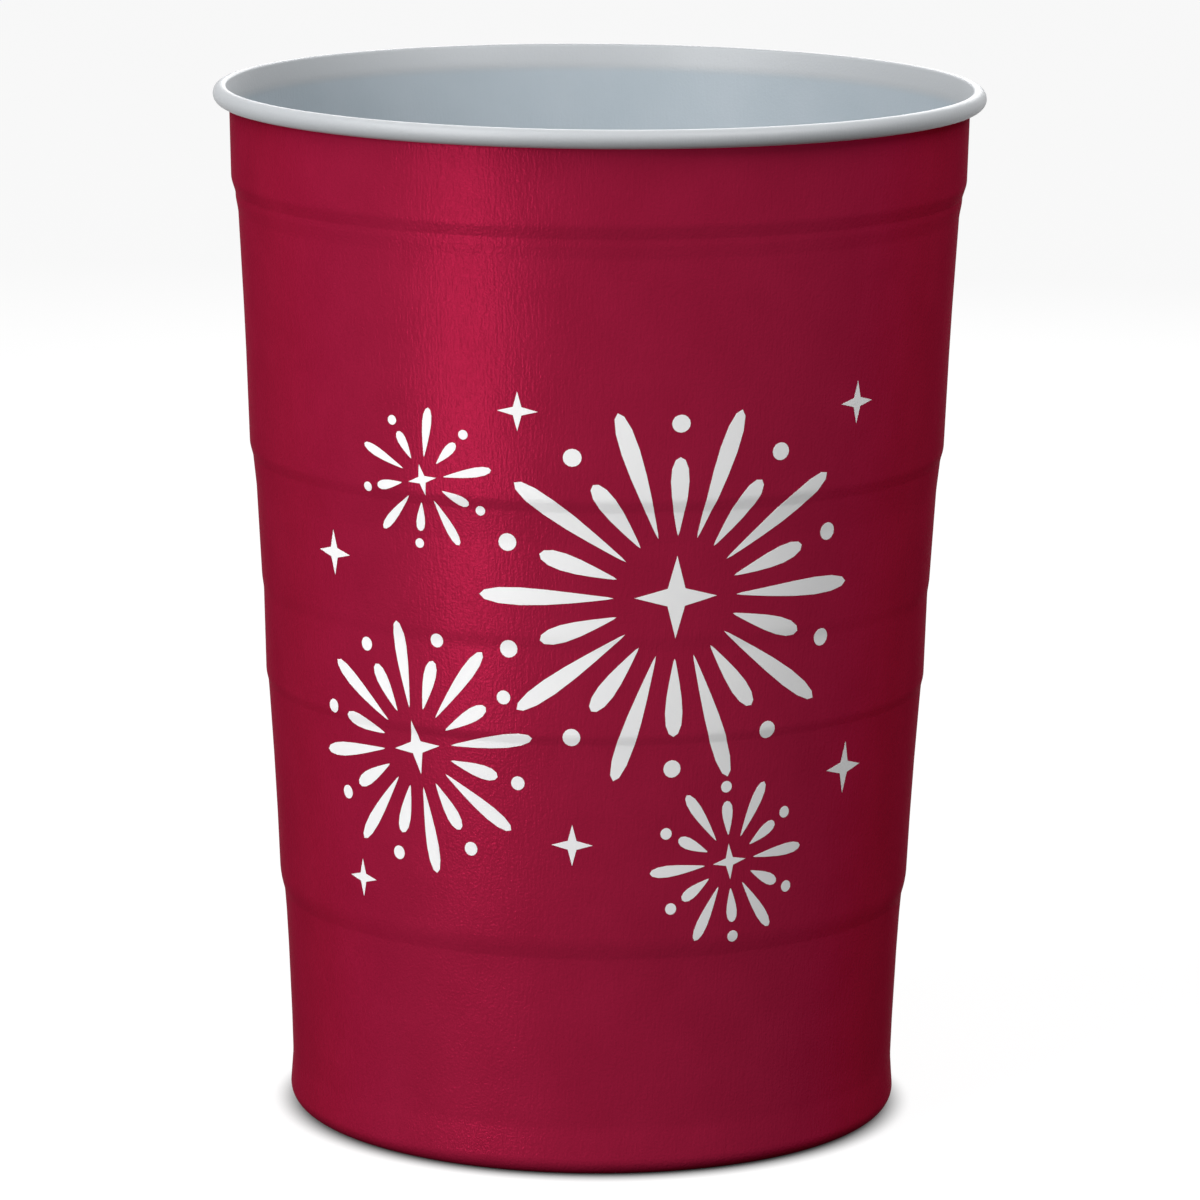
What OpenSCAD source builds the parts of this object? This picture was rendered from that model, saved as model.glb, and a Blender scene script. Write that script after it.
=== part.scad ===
// Steel party cup, drawn in one piece from thin sheet, with a rolled rim and stepped sides.
// Sizes are in millimetres. The cup stands on z = 0 with its axis on Z.

/* [Sheet] */
// Thickness of the steel sheet with its paint
sheet_t = 0.3; // [0.2:0.05:0.5]

/* [Rim] */
// Height of the cup from the table to the top of the rim
cup_h = 120.1; // [116:0.1:150]
// Outside diameter of the rolled rim
rim_d = 88.9; // [87.6:0.1:100]
// Diameter of the bead that the edge is rolled into
bead_d = 2.1; // [1.6:0.1:2.6]
// Angle that the edge turns through from the crest of the bead to its free end
bead_turn = 200; // [150:5:205]
// Width of the flat crest between the bead and the inner edge of the lip
crest_w = 0.15; // [0.1:0.05:0.3]
// Radius of the inner edge of the lip
crest_r = 0.15; // [0.1:0.05:0.3]
// Distance that the lip flares out from its throat to the middle of the bead
lip_flare = 0.83; // [0.6:0.01:1.2]
// Depth of the throat below the top of the rim
lip_depth = 2.6; // [2.4:0.1:4]
// Radius of the bend at the throat
throat_r = 4; // [1:0.5:8]

/* [Collar] */
// Depth of the collar's lower edge below the top of the rim
collar_depth = 10.75; // [8:0.05:14]
// Outside diameter at the collar's lower edge
collar_d = 84.74; // [83.8:0.02:86]
// Height of the steep slope under the collar
collar_slope_h = 1.5; // [1:0.1:2]
// Outside diameter at the foot of the steep slope
collar_slope_d = 83.78; // [83.7:0.02:84.4]
// Distance from the collar's edge down to the ridge below the steep slope
ridge_h = 2.25; // [2.15:0.05:3]
// Outside diameter at the ridge
ridge_d = 83.68; // [83.2:0.02:83.76]
// Distance from the collar's edge down to the neck
neck_h = 3.75; // [3.4:0.05:6]
// Outside diameter at the neck
neck_d = 83.12; // [82:0.02:83.6]
// Radius of the collar's lower edge
collar_edge_r = 2.5; // [0.5:0.5:4]
// Radius of the crease at the foot of the steep slope
collar_crease_r = 1; // [0.5:0.1:3]
// Radius of the ridge
ridge_r = 3; // [0.5:0.5:6]
// Radius of the bend at the neck
neck_r = 4; // [1:0.5:8]

/* [Upper step] */
// Height of the upper step's top edge above the table
upper_z = 78.5; // [70:0.1:90]
// Outside diameter at its top edge
upper_d = 80.54; // [80:0.02:81]
// Height of its steep slope
upper_slope_h = 1.3; // [0.8:0.1:3]
// Outside diameter at the crease at the foot of the steep slope
upper_slope_d = 79.82; // [79.2:0.02:80]
// Distance from the top edge down to the foot of the step
upper_foot_h = 4.9; // [3.6:0.1:8]
// Outside diameter at the foot of the step
upper_foot_d = 79.02; // [78:0.02:79.2]

/* [Draw line] */
// Height of the faint line between the upper and middle steps
line_z = 62.9; // [58:0.1:68]
// Outside diameter at the line
line_d = 77.78; // [77.4:0.02:77.9]
// Height of the line's slope
line_slope_h = 1.4; // [1:0.1:3]
// Outside diameter under the line
line_foot_d = 77.36; // [77:0.02:77.4]

/* [Middle step] */
// Height of the middle step's top edge above the table
middle_z = 51.6; // [42:0.1:55]
// Outside diameter at its top edge
middle_d = 76.8; // [76.4:0.02:77]
// Height of its steep slope
middle_slope_h = 1; // [0.6:0.1:2]
// Outside diameter at the crease at the foot of the steep slope
middle_slope_d = 76.3; // [76:0.02:76.4]
// Distance from the top edge down to the foot of the step
middle_foot_h = 2.8; // [2.2:0.1:6]
// Outside diameter at the foot of the step
middle_foot_d = 76.02; // [75.2:0.02:76.2]

/* [Lower step] */
// Height of the lower step's top edge above the table
lower_z = 27.4; // [20:0.1:36]
// Outside diameter at its top edge
lower_d = 73.54; // [73:0.02:74]
// Height of its steep slope
lower_slope_h = 1.8; // [1:0.1:3]
// Outside diameter at the crease at the foot of the steep slope
lower_slope_d = 72.56; // [72.2:0.02:73]
// Distance from the top edge down to the foot of the step
lower_foot_h = 4.2; // [3.4:0.1:8]
// Outside diameter at the foot of the step
lower_foot_d = 72.16; // [71.4:0.02:72.2]

/* [Steps] */
// Radius of the outer edge of the upper and middle steps
step_edge_r = 3; // [1:0.5:8]
// Radius of the outer edge of the lower step and the draw line
soft_edge_r = 8; // [2:0.5:12]
// Radius of the crease at the foot of each steep slope
step_crease_r = 1.5; // [0.5:0.5:4]
// Radius of the corner at the foot of each step
step_corner_r = 6; // [2:0.5:12]
// Depth that each band between two steps is drawn in at its middle
band_waist = 0.12; // [0:0.02:0.4]

/* [Foot] */
// Height of the narrowest ring, where the wall begins to turn out to the foot
foot_z = 5.6; // [5:0.1:10]
// Outside diameter of the narrowest ring
foot_d = 70.56; // [69:0.02:71]
// Outside diameter that the flared foot would reach at the table
flare_d = 71.36; // [70.6:0.02:73]
// Radius of the heel, where the wall turns in to the base
heel_r = 2.3; // [1.2:0.1:3.5]

/* [Base] */
// Width of the flat ring that the cup stands on
ring_w = 2.2; // [1:0.1:5]
// Height that the base panel is set up above the table
panel_h = 2.4; // [1.2:0.1:5]
// Run of the slope between the standing ring and the panel
panel_run = 2.6; // [1.5:0.1:5]
// Radius of the corners at each end of that slope
panel_r = 1.2; // [0.6:0.1:2]
// Extra height of the panel at its centre
dome_h = 0.8; // [0:0.1:2]

/* [Hidden] */

around = 180;        // segments round the cup on screen
arc_step = 7.5;      // largest turn in degrees between two points of an arc
arc_least = 3;       // fewest steps in any rounded corner
bow_r = 320;         // radius that eases the waist of a band
flare_r = 10;        // radius of the turn from the wall to the flare
dome_points = 6;     // rings that carry the curve of the panel
side_share = 0.48;   // most of a side that the rounding of one corner takes
least = 0.01;        // a turn or a radius below this leaves its corner sharp

bead_x = rim_d / 2 - bead_d / 2;
bead_z = cup_h - bead_d / 2;
bead_inner_r = bead_d / 2 - sheet_t;
crest_z = cup_h - sheet_t;
collar_z = cup_h - collar_depth;
standing_r = flare_d / 2 - heel_r;
panel_edge_r = standing_r - ring_w - panel_run;

// Vector helpers for points written as [radius, height]
function unit(v) = v / norm(v);
function left_of(v) = [-v[1], v[0]];
function cross2(a, b) = a[0] * b[1] - a[1] * b[0];

// A corner is [radius, height, rounding radius]
function at(c) = [c[0], c[1]];

// Points that replace one corner between two neighbours by an arc that touches both sides
function round_corner(before, corner, after) =
    let (
        way_in = unit(at(corner) - before),
        way_out = unit(after - at(corner)),
        turn = atan2(cross2(way_in, way_out), way_in * way_out),
        room = side_share * min(norm(at(corner) - before), norm(after - at(corner))),
        reach = min(corner[2] * tan(abs(turn) / 2), room),
        radius = abs(turn) > least ? reach / tan(abs(turn) / 2) : 0
    )
    radius < least
        ? [at(corner)]
        : let (
            start = at(corner) - way_in * reach,
            centre = start + left_of(way_in) * radius * sign(turn),
            steps = max(arc_least, ceil(abs(turn) / arc_step))
        )
        [for (k = [0 : steps]) centre + turned(start - centre, turn * k / steps)];

function turned(v, angle) = [
    v[0] * cos(angle) - v[1] * sin(angle),
    v[0] * sin(angle) + v[1] * cos(angle)
];

// The whole path with every corner but the first and last rounded
function rounded(corners) = [
    at(corners[0]),
    for (k = [1 : len(corners) - 2])
        each round_corner(at(corners[k - 1]), corners[k], at(corners[k + 1])),
    at(corners[len(corners) - 1])
];

// The point midway down a band, drawn in from the straight line by the waist
function waist(top, bottom) = [(top[0] + bottom[0]) / 2 - band_waist, (top[1] + bottom[1]) / 2, bow_r];

// The three corners of a step: its outer edge, the crease under the steep slope, and its foot
function step(z, d, slope_h, slope_d, foot_h, foot_d, edge_r) = [
    [d / 2, z, edge_r],
    [slope_d / 2, z - slope_h, step_crease_r],
    [foot_d / 2, z - foot_h, step_corner_r]
];

collar = [
    [collar_d / 2, collar_z, collar_edge_r],
    [collar_slope_d / 2, collar_z - collar_slope_h, collar_crease_r],
    [ridge_d / 2, collar_z - ridge_h, ridge_r],
    [neck_d / 2, collar_z - neck_h, neck_r]
];
upper = step(upper_z, upper_d, upper_slope_h, upper_slope_d, upper_foot_h, upper_foot_d, step_edge_r);
line = [
    [line_d / 2, line_z, soft_edge_r],
    [line_foot_d / 2, line_z - line_slope_h, step_corner_r]
];
middle = step(middle_z, middle_d, middle_slope_h, middle_slope_d, middle_foot_h, middle_foot_d,
    step_edge_r);
lower = step(lower_z, lower_d, lower_slope_h, lower_slope_d, lower_foot_h, lower_foot_d, soft_edge_r);
foot = [foot_d / 2, foot_z, flare_r];

// Outside of the wall, from the crest of the lip down to the centre of the base
outside_corners = [
    [bead_x, crest_z, 0],
    [bead_x - crest_w, crest_z, crest_r],
    [bead_x - lip_flare, cup_h - lip_depth, throat_r],
    each collar,
    waist(collar[3], upper[0]),
    each upper,
    each line,
    each middle,
    waist(middle[2], lower[0]),
    each lower,
    waist(lower[2], foot),
    foot,
    [flare_d / 2, 0, heel_r],
    [standing_r - ring_w, 0, panel_r],
    [panel_edge_r, panel_h, panel_r],
    for (k = [1 : dome_points]) dome_point(k / dome_points)
];

// A point of the panel's shallow dome, from its edge at 0 to its centre at 1
function dome_point(share) = [
    panel_edge_r * (1 - share),
    panel_h + dome_h * (1 - (1 - share) * (1 - share)),
    0
];

// Inside of the rolled bead, from the free edge round to just before the crest
bead_steps = ceil(bead_turn / arc_step);
bead_arc = [
    for (k = [0 : bead_steps - 1])
        let (angle = 90 - bead_turn + bead_turn * k / bead_steps)
        [bead_x + bead_inner_r * cos(angle), bead_z + bead_inner_r * sin(angle)]
];

outside = concat(bead_arc, rounded(outside_corners));

// Direction across the sheet at one point of a path
function across(path, k) =
    let (
        last = len(path) - 1,
        way_in = unit(path[max(k, 1)] - path[max(k, 1) - 1]),
        way_out = unit(path[min(k, last - 1) + 1] - path[min(k, last - 1)])
    )
    left_of(unit(way_in + way_out));

// The same path on the inner face of the sheet, ending on the axis
function inner_face(path) = [
    for (k = [0 : len(path) - 2]) path[k] - across(path, k) * sheet_t,
    path[len(path) - 1] + [0, sheet_t]
];

// Section of the whole cup as one bent strip of sheet
module sheet_section() {
    inside = inner_face(outside);
    polygon(concat(outside, [for (k = [len(inside) - 1 : -1 : 0]) inside[k]]));
}

module cup() {
    color("#8f1836")
        rotate_extrude($fn = around)
            sheet_section();
}

cup();
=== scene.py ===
"""Steel party cup: drawn from thin sheet, enamelled red outside and pale grey inside.

The wall's section is one chain of rounded corners, spun about the cup's axis. The pale sheet, the
red coat over its outside and the white print are separate pieces, each as thin as it is in life.
"""
import logging
import math
from collections.abc import Iterable
from dataclasses import dataclass, field
from enum import Enum

import bmesh
import bpy
from mathutils import Matrix, Vector


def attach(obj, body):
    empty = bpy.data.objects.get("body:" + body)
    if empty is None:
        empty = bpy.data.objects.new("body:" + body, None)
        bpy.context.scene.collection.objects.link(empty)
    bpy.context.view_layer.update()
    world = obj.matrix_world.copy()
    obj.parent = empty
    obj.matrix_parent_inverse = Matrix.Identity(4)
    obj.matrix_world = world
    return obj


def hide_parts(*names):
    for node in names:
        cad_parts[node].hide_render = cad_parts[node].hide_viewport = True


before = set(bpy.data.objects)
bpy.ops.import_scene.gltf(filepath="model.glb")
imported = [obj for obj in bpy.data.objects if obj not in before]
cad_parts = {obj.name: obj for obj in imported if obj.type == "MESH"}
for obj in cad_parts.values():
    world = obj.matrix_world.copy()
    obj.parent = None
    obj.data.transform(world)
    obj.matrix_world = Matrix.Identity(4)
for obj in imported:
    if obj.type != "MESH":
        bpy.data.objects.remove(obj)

LOG = logging.getLogger("steel_cup")

MM = 0.001
NODE = "cup"
BODY = "root"
MERGE_DISTANCE = 1e-7
CUT_DISTANCE = 1e-5

WHITE = (1.0, 1.0, 1.0, 1.0)
SCREEN_TOE_END = 0.04045
SCREEN_TOE_SLOPE = 12.92
SCREEN_LIFT = 0.055
SCREEN_GAMMA = 2.4

GRAIN_SCALE = 3600.0
MARKS_SCALE = 3300.0
MARKS_STRETCH = 0.16
MOTTLE_SCALE = 150.0
MOTTLE_LOW = 0.3
MOTTLE_HIGH = 0.7
BUMP_DEPTH = 0.05


class Slot(Enum):
    """Names of the material slots for the three finishes."""

    RED = "red_enamel"
    PALE = "pale_enamel"
    INK = "white_ink"


# Node helpers


def linear(red: int, green: int, blue: int) -> tuple[float, float, float, float]:
    """Turn a colour written as 0 to 255 screen values into a shader colour.

    Args:
        red: Red value.
        green: Green value.
        blue: Blue value.

    Returns:
        The linear colour with an alpha of one.
    """
    def channel(value: int) -> float:
        """Undo the screen's transfer curve for one channel."""
        share = value / 255
        if share <= SCREEN_TOE_END:
            return share / SCREEN_TOE_SLOPE
        return ((share + SCREEN_LIFT) / (1 + SCREEN_LIFT)) ** SCREEN_GAMMA

    return channel(red), channel(green), channel(blue), 1.0


def add_node(tree: bpy.types.NodeTree, kind: str, **values: object) -> bpy.types.Node:
    """Add a node and set its properties, or its inputs where the name is an input's.

    Args:
        tree: Node tree that takes the node.
        kind: Blender's name of the node type.
        **values: Properties by name, and inputs by name with spaces written as underscores.

    Returns:
        The new node.
    """
    node = tree.nodes.new(kind)
    for name, value in values.items():
        if hasattr(node, name):
            setattr(node, name, value)
        else:
            node.inputs[name.replace("_", " ")].default_value = value
    return node


def new_group(name: str, inputs: Iterable[tuple[str, str, float]],
              outputs: Iterable[tuple[str, str]]) -> bpy.types.NodeTree:
    """Start a shader node group.

    Args:
        name: Name of the group.
        inputs: Name, socket type and default value of each input.
        outputs: Name and socket type of each output.

    Returns:
        The group's tree, with its input and output nodes named "in" and "out".
    """
    group = bpy.data.node_groups.new(name, "ShaderNodeTree")
    for label, kind, default in inputs:
        socket = group.interface.new_socket(name=label, in_out="INPUT", socket_type=kind)
        if kind == "NodeSocketFloat":
            socket.default_value = default
    for label, kind in outputs:
        group.interface.new_socket(name=label, in_out="OUTPUT", socket_type=kind)
    group.nodes.new("NodeGroupInput").name = "in"
    group.nodes.new("NodeGroupOutput").name = "out"
    return group


def drawn_skin_group() -> bpy.types.NodeTree:
    """Build the relief that all the enamel shares: fine grain over upright draw marks.

    Returns:
        A group with a Height for the bump, about 0 to 2, and a Mottle mask from 0 to 1.
    """
    group = new_group(
        "drawn_skin",
        (("Vector", "NodeSocketVector", 0.0), ("Grain", "NodeSocketFloat", 1.0),
         ("Marks", "NodeSocketFloat", 1.0)),
        (("Height", "NodeSocketFloat"), ("Mottle", "NodeSocketFloat")))
    links = group.links
    source, sink = group.nodes["in"], group.nodes["out"]

    grain = add_node(group, "ShaderNodeTexNoise", Scale=GRAIN_SCALE, Detail=1.0, Roughness=0.55)
    links.new(source.outputs["Vector"], grain.inputs["Vector"])
    upright = add_node(group, "ShaderNodeMapping", vector_type="POINT",
                       Scale=(1.0, 1.0, MARKS_STRETCH))
    links.new(source.outputs["Vector"], upright.inputs["Vector"])
    marks = add_node(group, "ShaderNodeTexNoise", Scale=MARKS_SCALE, Detail=1.0, Roughness=0.6)
    links.new(upright.outputs["Vector"], marks.inputs["Vector"])
    mottle = add_node(group, "ShaderNodeTexNoise", Scale=MOTTLE_SCALE, Detail=3.0, Roughness=0.5)
    links.new(source.outputs["Vector"], mottle.inputs["Vector"])

    grain_part = add_node(group, "ShaderNodeMath", operation="MULTIPLY")
    links.new(grain.outputs["Fac"], grain_part.inputs[0])
    links.new(source.outputs["Grain"], grain_part.inputs[1])
    marks_part = add_node(group, "ShaderNodeMath", operation="MULTIPLY")
    links.new(marks.outputs["Fac"], marks_part.inputs[0])
    links.new(source.outputs["Marks"], marks_part.inputs[1])
    total = add_node(group, "ShaderNodeMath", operation="ADD")
    links.new(grain_part.outputs[0], total.inputs[0])
    links.new(marks_part.outputs[0], total.inputs[1])
    links.new(total.outputs[0], sink.inputs["Height"])
    links.new(mottle.outputs["Fac"], sink.inputs["Mottle"])
    return group


@dataclass(frozen=True)
class Enamel:
    """One paint finish: two near colours, its gloss and how much of the skin shows."""

    name: str
    colour: tuple[float, float, float, float]
    deep: tuple[float, float, float, float]
    metallic: float
    rough_low: float
    rough_high: float
    specular: float
    edge: tuple[float, float, float, float]
    grain: float
    marks: float
    bump: float

    def colour_socket(self, tree: bpy.types.NodeTree, place: bpy.types.Node,
                      relief: bpy.types.Node) -> bpy.types.NodeSocket:
        """Mottle the two near colours.

        Args:
            tree: Node tree of the material.
            place: Node that gives the Object coordinates; not used here.
            relief: The skin group in this material.

        Returns:
            The socket that carries the colour.
        """
        tint = add_node(tree, "ShaderNodeValToRGB")
        tint.color_ramp.elements[0].position = MOTTLE_LOW
        tint.color_ramp.elements[0].color = self.deep
        tint.color_ramp.elements[1].position = MOTTLE_HIGH
        tint.color_ramp.elements[1].color = self.colour
        tree.links.new(relief.outputs["Mottle"], tint.inputs["Fac"])
        return tint.outputs["Color"]

    def material(self, skin: bpy.types.NodeTree) -> bpy.types.Material:
        """Build the finish as a material.

        Args:
            skin: The group that gives the relief and the mottle.

        Returns:
            The finished material.
        """
        material = bpy.data.materials.new(self.name)
        material.use_nodes = True
        tree = material.node_tree
        shader = tree.nodes["Principled BSDF"]
        shader.inputs["Metallic"].default_value = self.metallic
        shader.inputs["Specular IOR Level"].default_value = self.specular
        shader.inputs["Specular Tint"].default_value = self.edge

        place = add_node(tree, "ShaderNodeTexCoord")
        relief = add_node(tree, "ShaderNodeGroup", node_tree=skin)
        relief.inputs["Grain"].default_value = self.grain
        relief.inputs["Marks"].default_value = self.marks
        tree.links.new(place.outputs["Object"], relief.inputs["Vector"])
        tree.links.new(self.colour_socket(tree, place, relief), shader.inputs["Base Color"])

        gloss = add_node(tree, "ShaderNodeMapRange", clamp=True)
        gloss.inputs["To Min"].default_value = self.rough_low
        gloss.inputs["To Max"].default_value = self.rough_high
        tree.links.new(relief.outputs["Mottle"], gloss.inputs["Value"])
        tree.links.new(gloss.outputs["Result"], shader.inputs["Roughness"])

        bump = add_node(tree, "ShaderNodeBump", Strength=self.bump, Distance=BUMP_DEPTH * MM)
        tree.links.new(relief.outputs["Height"], bump.inputs["Height"])
        tree.links.new(bump.outputs["Normal"], shader.inputs["Normal"])
        return material


@dataclass(frozen=True)
class EnamelWithPaintedRimSheen(Enamel):
    """Pale enamel that turns to a plainer, less blue grey by height over the lip and the bead:
    painted sheen, standing in for the light those parts catch.
    """

    # Colour of the painted sheen over the lip and the bead, and the heights in millimetres where
    # it fades in.
    rim: tuple[float, float, float, float] = WHITE
    rim_foot: float = 116.6
    rim_top: float = 117.8

    def colour_socket(self, tree: bpy.types.NodeTree, place: bpy.types.Node,
                      relief: bpy.types.Node) -> bpy.types.NodeSocket:
        """Mix the mottled colour by height with the painted sheen colour over the rim.

        Args:
            tree: Node tree of the material.
            place: Node that gives the Object coordinates.
            relief: The skin group in this material.

        Returns:
            The socket that carries the colour.
        """
        inner = super().colour_socket(tree, place, relief)
        split = add_node(tree, "ShaderNodeSeparateXYZ")
        tree.links.new(place.outputs["Object"], split.inputs["Vector"])
        share = add_node(tree, "ShaderNodeMapRange", clamp=True, interpolation_type="SMOOTHSTEP")
        share.inputs["From Min"].default_value = self.rim_foot * MM
        share.inputs["From Max"].default_value = self.rim_top * MM
        tree.links.new(split.outputs["Z"], share.inputs["Value"])
        # Painted sheen: a plainer, less blue grey mixed in by height over the lip and the bead.
        mix = add_node(tree, "ShaderNodeMixRGB", blend_type="MIX")
        mix.inputs["Color2"].default_value = self.rim
        tree.links.new(share.outputs["Result"], mix.inputs["Fac"])
        tree.links.new(inner, mix.inputs["Color1"])
        return mix.outputs["Color"]


CRIMSON = Enamel("crimson_enamel", linear(146, 26, 56), linear(141, 24, 53),
                 metallic=0.28, rough_low=0.29, rough_high=0.34, specular=0.0,
                 edge=(0.30, 0.02, 0.05, 1.0),
                 grain=1.0, marks=1.0, bump=1.0)
# The pale enamel's rim colour is painted sheen on the lip and the bead.
PALE_GREY = EnamelWithPaintedRimSheen("pale_grey_enamel", linear(165, 174, 181), linear(161, 171, 178),
                      metallic=0.0, rough_low=0.38, rough_high=0.5, specular=0.4,
                      edge=WHITE,
                      grain=0.8, marks=0.8, bump=0.4, rim=linear(164, 167, 170))
WHITE_INK = Enamel("white_screen_ink", linear(246, 246, 246), linear(243, 243, 244),
                   metallic=0.0, rough_low=0.5, rough_high=0.6, specular=0.3,
                   edge=WHITE,
                   grain=0.9, marks=0.3, bump=0.3)


# Section of the wall


@dataclass(frozen=True)
class Corner:
    """One corner of the section, as a radius and height in millimetres, with its rounding."""

    radius: float
    height: float
    rounding: float = 0.0

    @property
    def point(self) -> Vector:
        """Place of the corner in the section's plane, in millimetres."""
        return Vector((self.radius, 0.0, self.height))


@dataclass(frozen=True)
class Step:
    """A ring where the wall is drawn in: a short steep slope, then a long shallow one."""

    edge: Corner
    knee: Corner
    foot: Corner

    def corners(self) -> list[Corner]:
        """Give the step's corners from the top down."""
        return [self.edge, self.knee, self.foot]


@dataclass(frozen=True)
class Section:
    """The strip of sheet that spins into the cup, with the same sizes as the solid model."""

    sheet: float = 0.3
    height: float = 120.1
    rim_diameter: float = 88.9
    bead: float = 2.1
    bead_turn: float = 200.0
    crest: float = 0.15
    crest_rounding: float = 0.15
    throat: Corner = Corner(42.57, 117.5, 4.0)
    collar: Step = Step(Corner(42.37, 109.35, 2.5), Corner(41.89, 107.85, 1.0),
                        Corner(41.84, 107.1, 3.0))
    neck: Corner = Corner(41.56, 105.6, 4.0)
    upper: Step = Step(Corner(40.27, 78.5, 3.0), Corner(39.91, 77.2, 1.5),
                       Corner(39.51, 73.6, 6.0))
    line: tuple[Corner, ...] = (Corner(38.89, 62.9, 8.0), Corner(38.68, 61.5, 6.0))
    middle: Step = Step(Corner(38.4, 51.6, 3.0), Corner(38.15, 50.6, 1.5),
                        Corner(38.01, 48.8, 6.0))
    lower: Step = Step(Corner(36.77, 27.4, 8.0), Corner(36.28, 25.6, 1.5),
                       Corner(36.08, 23.2, 6.0))
    waist: float = 0.12
    waist_rounding: float = 320.0
    foot: Corner = Corner(35.28, 5.6, 10.0)
    flare_diameter: float = 71.36
    heel: float = 2.3
    ring: float = 2.2
    panel_height: float = 2.4
    panel_run: float = 2.6
    panel_rounding: float = 1.2
    dome: float = 0.8
    dome_rings: int = 6
    arc_step: float = 7.5
    arc_least: int = 3
    side_share: float = 0.48
    least_reach: float = 0.001
    coat_tuck: float = 0.1

    @property
    def bead_centre(self) -> Corner:
        """Centre of the rolled bead."""
        return Corner(self.rim_diameter / 2 - self.bead / 2, self.height - self.bead / 2)

    def waist_between(self, above: Corner, below: Corner) -> Corner:
        """Give the point midway down a band, drawn in from the straight line.

        Args:
            above: Corner at the top of the band.
            below: Corner at the foot of the band.

        Returns:
            The drawn-in corner.
        """
        return Corner((above.radius + below.radius) / 2 - self.waist,
                      (above.height + below.height) / 2, self.waist_rounding)

    def lip_corners(self) -> list[Corner]:
        """Give the crest of the bead and the inner edge of the flared lip."""
        centre = self.bead_centre
        return [Corner(centre.radius, self.height - self.sheet),
                Corner(centre.radius - self.crest, self.height - self.sheet,
                       self.crest_rounding)]

    def wall_corners(self) -> list[Corner]:
        """List the outside corners from the foot of the lip to the centre of the base.

        Returns:
            The corners in order.
        """
        upper, middle, lower = self.upper, self.middle, self.lower
        standing = self.flare_diameter / 2 - self.heel
        panel = standing - self.ring - self.panel_run
        shares = [ring / self.dome_rings for ring in range(1, self.dome_rings + 1)]
        return [
            self.throat, *self.collar.corners(), self.neck,
            self.waist_between(self.neck, upper.edge), *upper.corners(), *self.line,
            *middle.corners(), self.waist_between(middle.foot, lower.edge), *lower.corners(),
            self.waist_between(lower.foot, self.foot), self.foot,
            Corner(self.flare_diameter / 2, 0.0, self.heel),
            Corner(standing - self.ring, 0.0, self.panel_rounding),
            Corner(panel, self.panel_height, self.panel_rounding),
            *(Corner(panel * (1 - share), self.panel_height + self.dome * (1 - (1 - share) ** 2))
              for share in shares)]

    def reach(self, before: Corner, corner: Corner, after: Corner) -> tuple[float, int]:
        """Work out how far along its edges one corner is rounded.

        Args:
            before: The corner above it.
            corner: The corner to round.
            after: The corner below it.

        Returns:
            The reach in millimetres and the number of segments of its arc.
        """
        way_in = corner.point - before.point
        way_out = after.point - corner.point
        turn = way_in.angle(way_out)
        room = self.side_share * min(way_in.length, way_out.length)
        segments = max(self.arc_least, math.ceil(math.degrees(turn) / self.arc_step))
        return min(corner.rounding * math.tan(turn / 2), room), segments

    def draw_chain(self, mesh: bmesh.types.BMesh, corners: list[Corner],
                   start: bmesh.types.BMVert | None = None) -> None:
        """Add corners to a mesh as a chain of edges and round the inner ones.

        Args:
            mesh: Mesh that takes the chain.
            corners: Corners from the top down.
            start: A vertex that stands at the first corner already, if there is one.
        """
        first = start or mesh.verts.new(corners[0].point * MM)
        chain = [first, *(mesh.verts.new(corner.point * MM) for corner in corners[1:])]
        for above, below in zip(chain, chain[1:]):
            mesh.edges.new((above, below))
        plans = [self.reach(*near) for near in zip(corners, corners[1:], corners[2:])]
        for vertex, (reach, segments) in zip(chain[1:-1], plans):
            if reach > self.least_reach:
                bmesh.ops.bevel(mesh, geom=[vertex], offset=reach * MM, offset_type="OFFSET",
                                segments=segments, profile=0.5, affect="VERTICES", material=-1)

    def draw_bead(self, mesh: bmesh.types.BMesh) -> bmesh.types.BMVert:
        """Add the inside of the rolled bead, from the free edge to the crest.

        Args:
            mesh: Mesh that takes the arc.

        Returns:
            The vertex at the crest.
        """
        centre = self.bead_centre.point * MM
        crest = self.lip_corners()[0].point * MM
        seed = mesh.verts.new(crest)
        steps = math.ceil(self.bead_turn / self.arc_step)
        bmesh.ops.spin(mesh, geom=[seed], cent=centre, axis=(0.0, 1.0, 0.0),
                       angle=math.radians(self.bead_turn), steps=steps)
        return min(mesh.verts, key=lambda vertex: (vertex.co - crest).length)

    def under_bead(self) -> Corner:
        """Give the point of the flared lip that hides just under the bead."""
        crest = self.lip_corners()[1]
        height = self.height - self.bead + self.coat_tuck
        share = (height - self.throat.height) / (crest.height - self.throat.height)
        return Corner(self.throat.radius + share * (crest.radius - self.throat.radius), height)

    def wall_curve(self) -> list[tuple[float, float]]:
        """Give the outside of the wall as heights and radii.

        Returns:
            Height and radius pairs in metres, from the foot up to the bead.
        """
        mesh = bmesh.new()
        self.draw_chain(mesh, [self.under_bead(), *self.wall_corners()])
        pairs = sorted((vertex.co.z, vertex.co.x) for vertex in mesh.verts
                       if vertex.co.x > (self.flare_diameter / 2 - self.heel) * MM)
        mesh.free()
        return pairs


# Mesh helpers


def spin_round(mesh: bmesh.types.BMesh, around: int) -> None:
    """Spin everything in a mesh once about the vertical axis.

    Args:
        mesh: Mesh that holds the section.
        around: Number of steps of the full turn.
    """
    bmesh.ops.spin(mesh, geom=[*mesh.verts, *mesh.edges], cent=(0.0, 0.0, 0.0),
                   axis=(0.0, 0.0, 1.0), angle=math.tau, steps=around, use_merge=True)
    bmesh.ops.remove_doubles(mesh, verts=mesh.verts, dist=MERGE_DISTANCE)
    bmesh.ops.recalc_face_normals(mesh, faces=mesh.faces)


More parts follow.
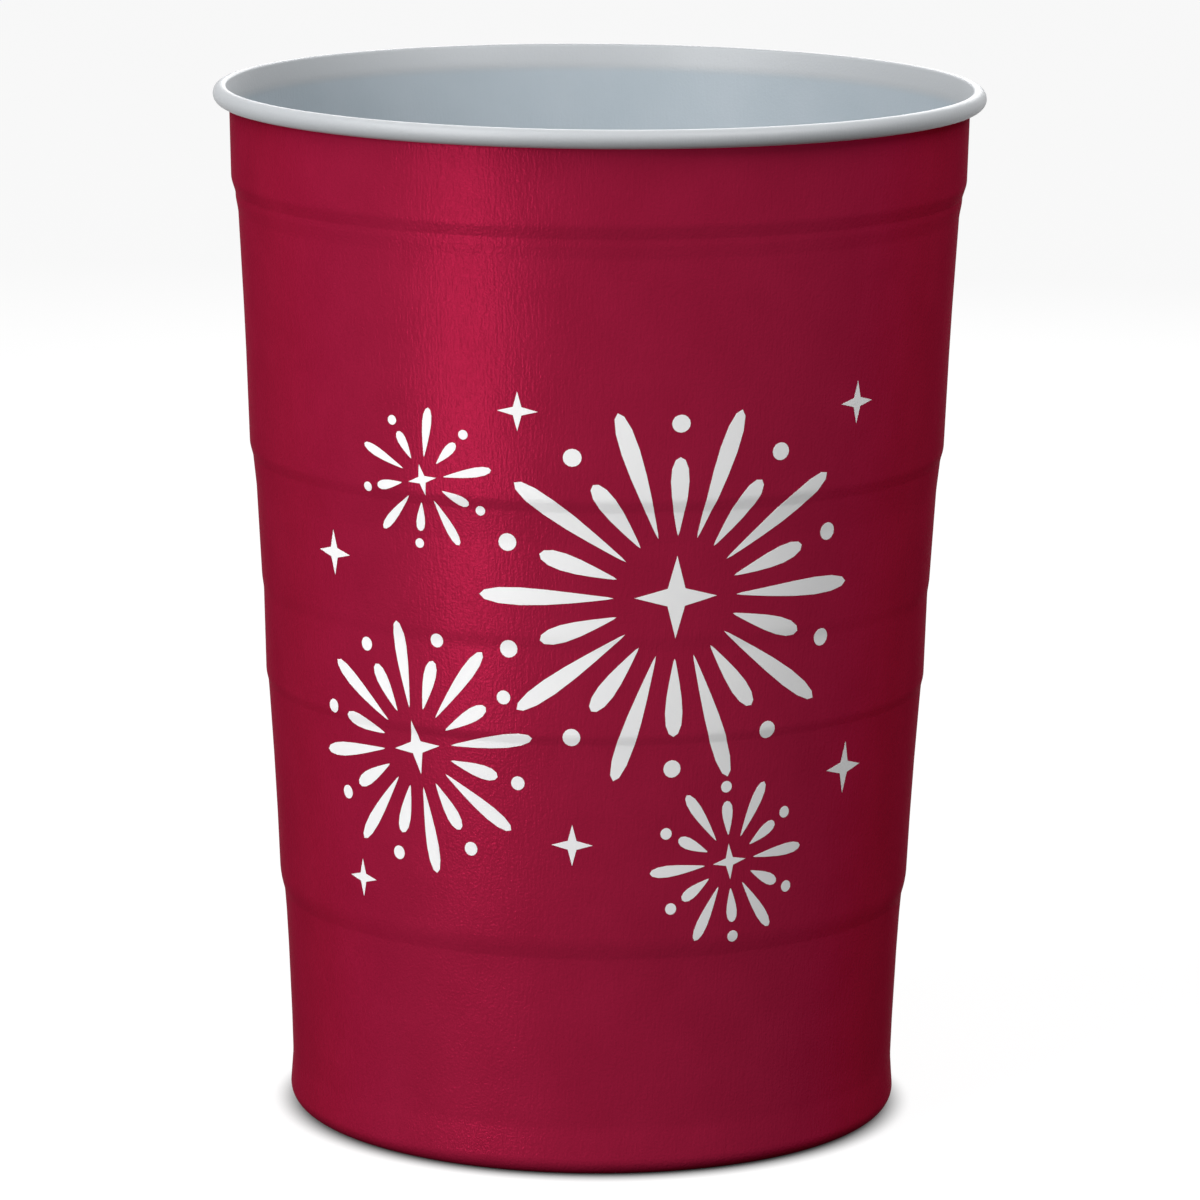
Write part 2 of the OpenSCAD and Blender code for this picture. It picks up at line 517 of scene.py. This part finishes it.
def finish_piece(mesh: bmesh.types.BMesh, name: str, material: bpy.types.Material,
                 sharp: float = 35.0) -> bpy.types.Object:
    """Turn a mesh into a piece of the cup.

    Args:
        mesh: Mesh of the piece, in place. It is freed.
        name: Name of the piece.
        material: Finish of the piece.
        sharp: Angle in degrees above which an edge stays sharp.

    Returns:
        The object, linked to the scene and riding on the body.
    """
    for face in mesh.faces:
        face.smooth = True
    for edge in mesh.edges:
        edge.smooth = edge.calc_face_angle(0.0) < math.radians(sharp)
    data = bpy.data.meshes.new(name)
    mesh.to_mesh(data)
    mesh.free()
    data.materials.append(material)
    piece = bpy.data.objects.new(name, data)
    bpy.context.scene.collection.objects.link(piece)
    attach(piece, BODY)
    LOG.info("%s: %d faces", name, len(data.polygons))
    return piece


def turn_outward(mesh: bmesh.types.BMesh) -> None:
    """Turn a closed shell's faces so that they point out of it."""
    if mesh.calc_volume(signed=True) < 0:
        bmesh.ops.reverse_faces(mesh, faces=mesh.faces)


# Sub-assemblies


@dataclass
class CupBody:
    """The drawn sheet and the coat over its outside."""

    section: Section = field(default_factory=Section)
    around: int = 256
    film: float = 0.03

    def thicken(self, mesh: bmesh.types.BMesh, gap: float, thickness: float) -> None:
        """Give the spun outside face a thickness towards the inside of the cup.

        Args:
            mesh: Spun open surface on the outside face of the sheet.
            gap: Distance that it is first drawn back from that face, in millimetres.
            thickness: Thickness in millimetres.
        """
        ring = min(mesh.faces, key=lambda face: face.calc_center_median().z)
        inward = 1.0 if ring.normal.z > 0 else -1.0
        for vertex in mesh.verts:
            vertex.normal_update()
        moves = [(vertex, vertex.normal * inward * gap * MM) for vertex in mesh.verts]
        for vertex, move in moves:
            vertex.co += move
        bmesh.ops.solidify(mesh, geom=mesh.faces, thickness=-inward * thickness * MM)
        turn_outward(mesh)

    def build_sheet(self, finish: bpy.types.Material) -> bpy.types.Object:
        """Build the sheet with its rolled rim, which shows inside and over the bead.

        Args:
            finish: Pale enamel.

        Returns:
            The finished piece.
        """
        section = self.section
        mesh = bmesh.new()
        start = section.draw_bead(mesh)
        section.draw_chain(mesh, [*section.lip_corners(), *section.wall_corners()], start)
        spin_round(mesh, self.around)
        self.thicken(mesh, self.film, section.sheet - self.film)
        return finish_piece(mesh, "pale_sheet", finish)

    def build_coat(self, finish: bpy.types.Material) -> bpy.types.Object:
        """Build the red coat, from under the bead to the centre of the base.

        Args:
            finish: Crimson enamel.

        Returns:
            The finished piece.
        """
        section = self.section
        mesh = bmesh.new()
        section.draw_chain(mesh, [section.under_bead(), *section.wall_corners()])
        spin_round(mesh, self.around)
        self.thicken(mesh, 0.0, self.film)
        return finish_piece(mesh, "red_coat", finish)


@dataclass(frozen=True)
class Burst:
    """A round burst of tapered rays with a ring of dots, in millimetres on the unrolled wall."""

    across: float
    up: float
    radius: float
    rays: int
    width: float
    turn: float = 0.0


@dataclass
class Print:
    """The white print: four bursts of rays and dots, with small stars between them."""

    section: Section = field(default_factory=Section)
    around: int = 256
    film: float = 0.03
    print_radius: float = 39.0
    round_segments: int = 16
    ray_root: float = 0.25
    ray_swell: float = 0.95
    ray_start: float = 0.3
    long_ray: float = 0.94
    short_ray: float = 0.68
    dot_reach: float = 0.84
    dot_share: float = 0.42
    star_share: float = 0.2
    star_waist: float = 0.3
    bursts: tuple[Burst, ...] = (
        Burst(9.0, 67.5, 23.5, 20, 2.4, 0.0),
        Burst(-21.5, 49.0, 15.5, 16, 1.9, 9.0),
        Burst(16.5, 36.5, 10.5, 12, 1.6, 5.0),
        Burst(-19.5, 80.0, 8.8, 10, 1.3, 12.0),
    )
    stars: tuple[tuple[float, float, float], ...] = (
        (-33.0, 70.0, 2.6), (33.0, 45.5, 3.0), (-2.5, 39.0, 2.4), (-8.5, 88.5, 2.2),
        (31.0, 88.0, 2.4), (-30.5, 32.5, 2.2))

    def add_ray(self, mesh: bmesh.types.BMesh, burst: Burst, angle: float, start: float,
                end: float, width: float) -> None:
        """Add one ray: a long drop shape, narrow at the burst's centre and round at its tip.

        Args:
            mesh: Flat mesh of the print.
            burst: Burst that the ray belongs to.
            angle: Direction of the ray in radians.
            start: Distance of its narrow end from the centre.
            end: Distance of its tip from the centre.
            width: Width near its tip.
        """
        made = bmesh.ops.create_circle(mesh, cap_ends=True, segments=self.round_segments,
                                       radius=1.0)
        for vertex in made["verts"]:
            along = (vertex.co.x + 1) / 2
            swell = self.ray_root + self.ray_swell * along
            vertex.co = Vector((start + (end - start) * along,
                                vertex.co.y * width / 2 * swell, 0.0))
        self.place(mesh, made["verts"], burst.across, burst.up, angle)

    def place(self, mesh: bmesh.types.BMesh, verts: list[bmesh.types.BMVert], across: float,
              up: float, angle: float) -> None:
        """Turn a flat motif and move it to its place on the unrolled wall.

        Args:
            mesh: Flat mesh of the print.
            verts: Vertices of the motif, drawn about the origin.
            across: Distance round the wall from the middle of the print.
            up: Height above the table.
            angle: Turn in radians.
        """
        move = Matrix.Translation((across, up, 0.0)) @ Matrix.Rotation(angle, 4, "Z")
        bmesh.ops.transform(mesh, matrix=move, verts=verts)

    def add_dot(self, mesh: bmesh.types.BMesh, across: float, up: float, radius: float) -> None:
        """Add a round dot.

        Args:
            mesh: Flat mesh of the print.
            across: Distance round the wall from the middle of the print.
            up: Height above the table.
            radius: Radius of the dot.
        """
        made = bmesh.ops.create_circle(mesh, cap_ends=True, segments=self.round_segments,
                                       radius=radius)
        self.place(mesh, made["verts"], across, up, 0.0)

    def add_star(self, mesh: bmesh.types.BMesh, across: float, up: float, radius: float,
                 angle: float) -> None:
        """Add a four-pointed star.

        Args:
            mesh: Flat mesh of the print.
            across: Distance round the wall from the middle of the print.
            up: Height above the table.
            radius: Distance from the star's centre to its points.
            angle: Turn in radians.
        """
        made = bmesh.ops.create_circle(mesh, cap_ends=True, segments=8, radius=radius)
        waist = sorted(made["verts"], key=lambda vertex: abs(abs(vertex.co.x) - abs(vertex.co.y)))
        bmesh.ops.scale(mesh, vec=[self.star_waist] * 3, verts=waist[:4])
        self.place(mesh, made["verts"], across, up, angle)

    def add_burst(self, mesh: bmesh.types.BMesh, burst: Burst) -> None:
        """Add one burst with long and short rays in turn, and a dot past each short one.

        Args:
            mesh: Flat mesh of the print.
            burst: The burst.
        """
        for ray in range(burst.rays):
            angle = math.radians(burst.turn) + math.tau * ray / burst.rays
            is_long = ray % 2 == 0
            end = burst.radius * (self.long_ray if is_long else self.short_ray)
            self.add_ray(mesh, burst, angle, burst.radius * self.ray_start, end, burst.width)
            if not is_long:
                reach = burst.radius * self.dot_reach
                self.add_dot(mesh, burst.across + reach * math.cos(angle),
                             burst.up + reach * math.sin(angle), burst.width * self.dot_share)
        self.add_star(mesh, burst.across, burst.up, burst.radius * self.star_share,
                      math.radians(burst.turn))

    def draw_flat(self) -> bmesh.types.BMesh:
        """Draw the whole print flat, in millimetres.

        Returns:
            The flat mesh.
        """
        mesh = bmesh.new()
        for burst in self.bursts:
            self.add_burst(mesh, burst)
        for across, up, radius in self.stars:
            self.add_star(mesh, across, up, radius, 0.0)
        return mesh

    def cut_to_facets(self, mesh: bmesh.types.BMesh, curve: list[tuple[float, float]]) -> None:
        """Cut the flat print wherever the wall's facets meet, so that it can lie on them.

        Args:
            mesh: Flat mesh of the print.
            curve: Heights and radii of the wall's outside, in metres.
        """
        lowest = min(vertex.co.y for vertex in mesh.verts)
        highest = max(vertex.co.y for vertex in mesh.verts)
        widest = max(abs(vertex.co.x) for vertex in mesh.verts)
        pitch = math.tau / self.around * self.print_radius
        reach = math.ceil(widest / pitch)
        for count in range(-reach, reach + 1):
            bmesh.ops.bisect_plane(mesh, geom=[*mesh.verts, *mesh.edges, *mesh.faces],
                                   dist=CUT_DISTANCE, plane_co=(count * pitch, 0, 0),
                                   plane_no=(1, 0, 0))
        for height, _ in curve:
            if lowest < height / MM < highest:
                bmesh.ops.bisect_plane(mesh, geom=[*mesh.verts, *mesh.edges, *mesh.faces],
                                       dist=CUT_DISTANCE, plane_co=(0, height / MM, 0),
                                       plane_no=(0, 1, 0))

    def wrap(self, mesh: bmesh.types.BMesh, curve: list[tuple[float, float]]) -> None:
        """Lay the flat print round the wall.

        Args:
            mesh: Flat mesh of the print.
            curve: Heights and radii of the wall's outside, in metres.
        """
        for vertex in mesh.verts:
            height = vertex.co.y * MM
            angle = vertex.co.x / self.print_radius
            radius = radius_at(curve, height)
            vertex.co = Vector((radius * math.sin(angle), -radius * math.cos(angle), height))

    def build(self, finish: bpy.types.Material) -> bpy.types.Object:
        """Build the print as a thin film on the wall.

        Args:
            finish: White ink.

        Returns:
            The finished piece.
        """
        curve = self.section.wall_curve()
        mesh = self.draw_flat()
        self.cut_to_facets(mesh, curve)
        self.wrap(mesh, curve)
        bmesh.ops.recalc_face_normals(mesh, faces=mesh.faces)
        for face in mesh.faces:
            outward = Vector((face.calc_center_median().x, face.calc_center_median().y, 0.0))
            if face.normal.dot(outward) < 0:
                face.normal_flip()
        bmesh.ops.solidify(mesh, geom=mesh.faces, thickness=-self.film * MM)
        bmesh.ops.recalc_face_normals(mesh, faces=mesh.faces)
        return finish_piece(mesh, "print", finish)


def radius_at(curve: list[tuple[float, float]], height: float) -> float:
    """Read the wall's radius at a height.

    Args:
        curve: Heights and radii of the wall's outside, lowest first.
        height: Height to look up.

    Returns:
        The radius, on the straight line between the two nearest points.
    """
    for (low, inner), (high, outer) in zip(curve, curve[1:]):
        if low <= height <= high and high > low:
            return inner + (outer - inner) * (height - low) / (high - low)
    return curve[-1][1]


# Studio


@dataclass(frozen=True)
class SoftBox:
    """One soft lamp, placed round the cup by angles and aimed at a height on its axis.

    Angles are in degrees, distances in metres and the power in watts.
    """

    name: str
    azimuth: float
    elevation: float
    distance: float
    width: float
    height: float
    aim: float
    power: float

    def build(self) -> None:
        """Place the lamp."""
        data = bpy.data.lights.new(self.name, "AREA")
        data.shape = "RECTANGLE"
        data.size = self.width
        data.size_y = self.height
        data.energy = self.power
        lamp = bpy.data.objects.new(self.name, data)
        lamp.visible_camera = False
        azimuth, elevation = math.radians(self.azimuth), math.radians(self.elevation)
        way = Vector((math.sin(azimuth) * math.cos(elevation),
                      -math.cos(azimuth) * math.cos(elevation), math.sin(elevation)))
        lamp.location = Vector((0.0, 0.0, self.aim)) + way * self.distance
        lamp.rotation_euler = way.to_track_quat("Z", "Y").to_euler()
        bpy.context.scene.collection.objects.link(lamp)


@dataclass
class Studio:
    """Floor, backdrop, lamps and camera."""

    camera_place: tuple[float, float, float] = (0.0, -0.74366, 0.20497)
    camera_pitch: float = 0.19295
    camera_yaw: float = 0.0007
    camera_roll: float = 0.0085
    camera_lens: float = 194.65
    camera_sensor: float = 36.0
    camera_range: float = 30.0
    floor_radius: float = 6.0
    floor_segments: int = 96
    floor_glow: float = 0.9
    floor_shadow: float = 0.15
    floor_bounce: float = 0.06
    # Radii in millimetres of the painted shadow ring round the foot, where the floor's glow fades
    # out.
    painted_shadow_inner: float = 33.5
    painted_shadow_outer: float = 38.0
    world_light: float = 0.22
    boxes: tuple[SoftBox, ...] = (
        SoftBox("low", -39.0, 0.0, 0.22, 0.05, 0.053, 0.0285, 0.062),
        SoftBox("strip", -39.0, 0.0, 0.28, 0.06, 0.4, 0.21, 0.13),
        SoftBox("key", -40.0, 20.0, 0.6, 0.24, 0.24, 0.11, 1.66),
        SoftBox("high_left", -60.0, 50.0, 0.33, 0.2, 0.2, 0.12, 0.64),
        SoftBox("high_right", 50.0, 43.0, 0.3, 0.2, 0.2, 0.13, 0.62),
        SoftBox("side_right", 95.0, 35.0, 0.33, 0.2, 0.2, 0.12, 0.06),
        SoftBox("back", 175.0, 22.0, 0.6, 0.3, 0.3, 0.09, 1.1),
    )

    def build_camera(self) -> None:
        """Place the camera where the photograph was taken from."""
        data = bpy.data.cameras.new("camera")
        data.lens = self.camera_lens
        data.sensor_width = self.camera_sensor
        data.clip_end = self.camera_range
        camera = bpy.data.objects.new("camera", data)
        turn = (Matrix.Rotation(-self.camera_yaw, 4, "Z")
                @ Matrix.Rotation(math.pi / 2 - self.camera_pitch, 4, "X")
                @ Matrix.Rotation(self.camera_roll, 4, "Z"))
        camera.location = self.camera_place
        camera.rotation_euler = turn.to_euler()
        bpy.context.scene.collection.objects.link(camera)
        bpy.context.scene.camera = camera

    def shown_socket(self, tree: bpy.types.NodeTree) -> bpy.types.NodeSocket:
        """Tell the rays that show the background from those that only carry light.

        Args:
            tree: Node tree of the floor or the world.

        Returns:
            The socket that is one for camera, glossy and transmission rays, and zero for others.
        """
        path = add_node(tree, "ShaderNodeLightPath")
        seen = add_node(tree, "ShaderNodeMath", operation="MAXIMUM")
        tree.links.new(path.outputs["Is Camera Ray"], seen.inputs[0])
        tree.links.new(path.outputs["Is Glossy Ray"], seen.inputs[1])
        shown = add_node(tree, "ShaderNodeMath", operation="MAXIMUM")
        tree.links.new(seen.outputs[0], shown.inputs[0])
        tree.links.new(path.outputs["Is Transmission Ray"], shown.inputs[1])
        return shown.outputs[0]

    def build_floor(self) -> None:
        """Lay a plain pale floor that shows as white and keeps the cup's shadow, with a painted
        shadow round the foot where its glow fades out.
        """
        mesh = bmesh.new()
        bmesh.ops.create_circle(mesh, cap_ends=True, segments=self.floor_segments,
                                radius=self.floor_radius)
        data = bpy.data.meshes.new("floor")
        mesh.to_mesh(data)
        mesh.free()
        floor = bpy.data.objects.new("floor", data)
        bpy.context.scene.collection.objects.link(floor)

        material = bpy.data.materials.new("studio_floor")
        material.use_nodes = True
        tree = material.node_tree
        tree.nodes.clear()
        shown = self.shown_socket(tree)
        place = add_node(tree, "ShaderNodeTexCoord")
        away = add_node(tree, "ShaderNodeVectorMath", operation="LENGTH")
        tree.links.new(place.outputs["Object"], away.inputs[0])
        # Painted shadow: the glow fades to nothing close round the foot, so the floor shows dark
        # there and in the cup's reflections.
        clear = add_node(tree, "ShaderNodeMapRange", clamp=True, interpolation_type="SMOOTHSTEP")
        clear.inputs["From Min"].default_value = self.painted_shadow_inner * MM
        clear.inputs["From Max"].default_value = self.painted_shadow_outer * MM
        clear.inputs["To Max"].default_value = self.floor_glow
        tree.links.new(away.outputs["Value"], clear.inputs["Value"])
        lit = add_node(tree, "ShaderNodeBsdfDiffuse", Color=(*[self.floor_shadow] * 3, 1.0))
        glow = add_node(tree, "ShaderNodeEmission", Color=WHITE)
        tree.links.new(clear.outputs["Result"], glow.inputs["Strength"])
        both = add_node(tree, "ShaderNodeAddShader")
        tree.links.new(lit.outputs[0], both.inputs[0])
        tree.links.new(glow.outputs[0], both.inputs[1])
        grey = add_node(tree, "ShaderNodeBsdfDiffuse", Color=(*[self.floor_bounce] * 3, 1.0))
        mix = add_node(tree, "ShaderNodeMixShader")
        tree.links.new(shown, mix.inputs["Fac"])
        tree.links.new(grey.outputs[0], mix.inputs[1])
        tree.links.new(both.outputs[0], mix.inputs[2])
        output = add_node(tree, "ShaderNodeOutputMaterial")
        tree.links.new(mix.outputs[0], output.inputs["Surface"])
        data.materials.append(material)

    def build_world(self) -> None:
        """Light the scene evenly, with a white backdrop."""
        world = bpy.data.worlds.new("studio")
        bpy.context.scene.world = world
        world.use_nodes = True
        tree = world.node_tree
        tree.nodes.clear()
        shown = self.shown_socket(tree)
        light = add_node(tree, "ShaderNodeBackground", Color=WHITE, Strength=self.world_light)
        white = add_node(tree, "ShaderNodeBackground", Color=WHITE, Strength=1.0)
        mix = add_node(tree, "ShaderNodeMixShader")
        tree.links.new(shown, mix.inputs["Fac"])
        tree.links.new(light.outputs[0], mix.inputs[1])
        tree.links.new(white.outputs[0], mix.inputs[2])
        output = add_node(tree, "ShaderNodeOutputWorld")
        tree.links.new(mix.outputs[0], output.inputs["Surface"])

    def build(self) -> None:
        """Build the whole studio."""
        bpy.context.scene.view_settings.view_transform = "Standard"
        self.build_camera()
        self.build_floor()
        self.build_world()
        for box in self.boxes:
            box.build()


def main() -> None:
    """Build the studio and the cup, and hide the imported cup."""
    logging.basicConfig(level=logging.INFO, format="%(name)s: %(message)s")
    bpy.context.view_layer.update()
    Studio().build()

    skin = drawn_skin_group()
    body = CupBody()
    sheet = body.build_sheet(PALE_GREY.material(skin))
    coat = body.build_coat(CRIMSON.material(skin))
    for piece in (sheet, coat):
        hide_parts(NODE)
    Print(section=body.section, around=body.around).build(WHITE_INK.material(skin))


if __name__ == "__main__":
    main()
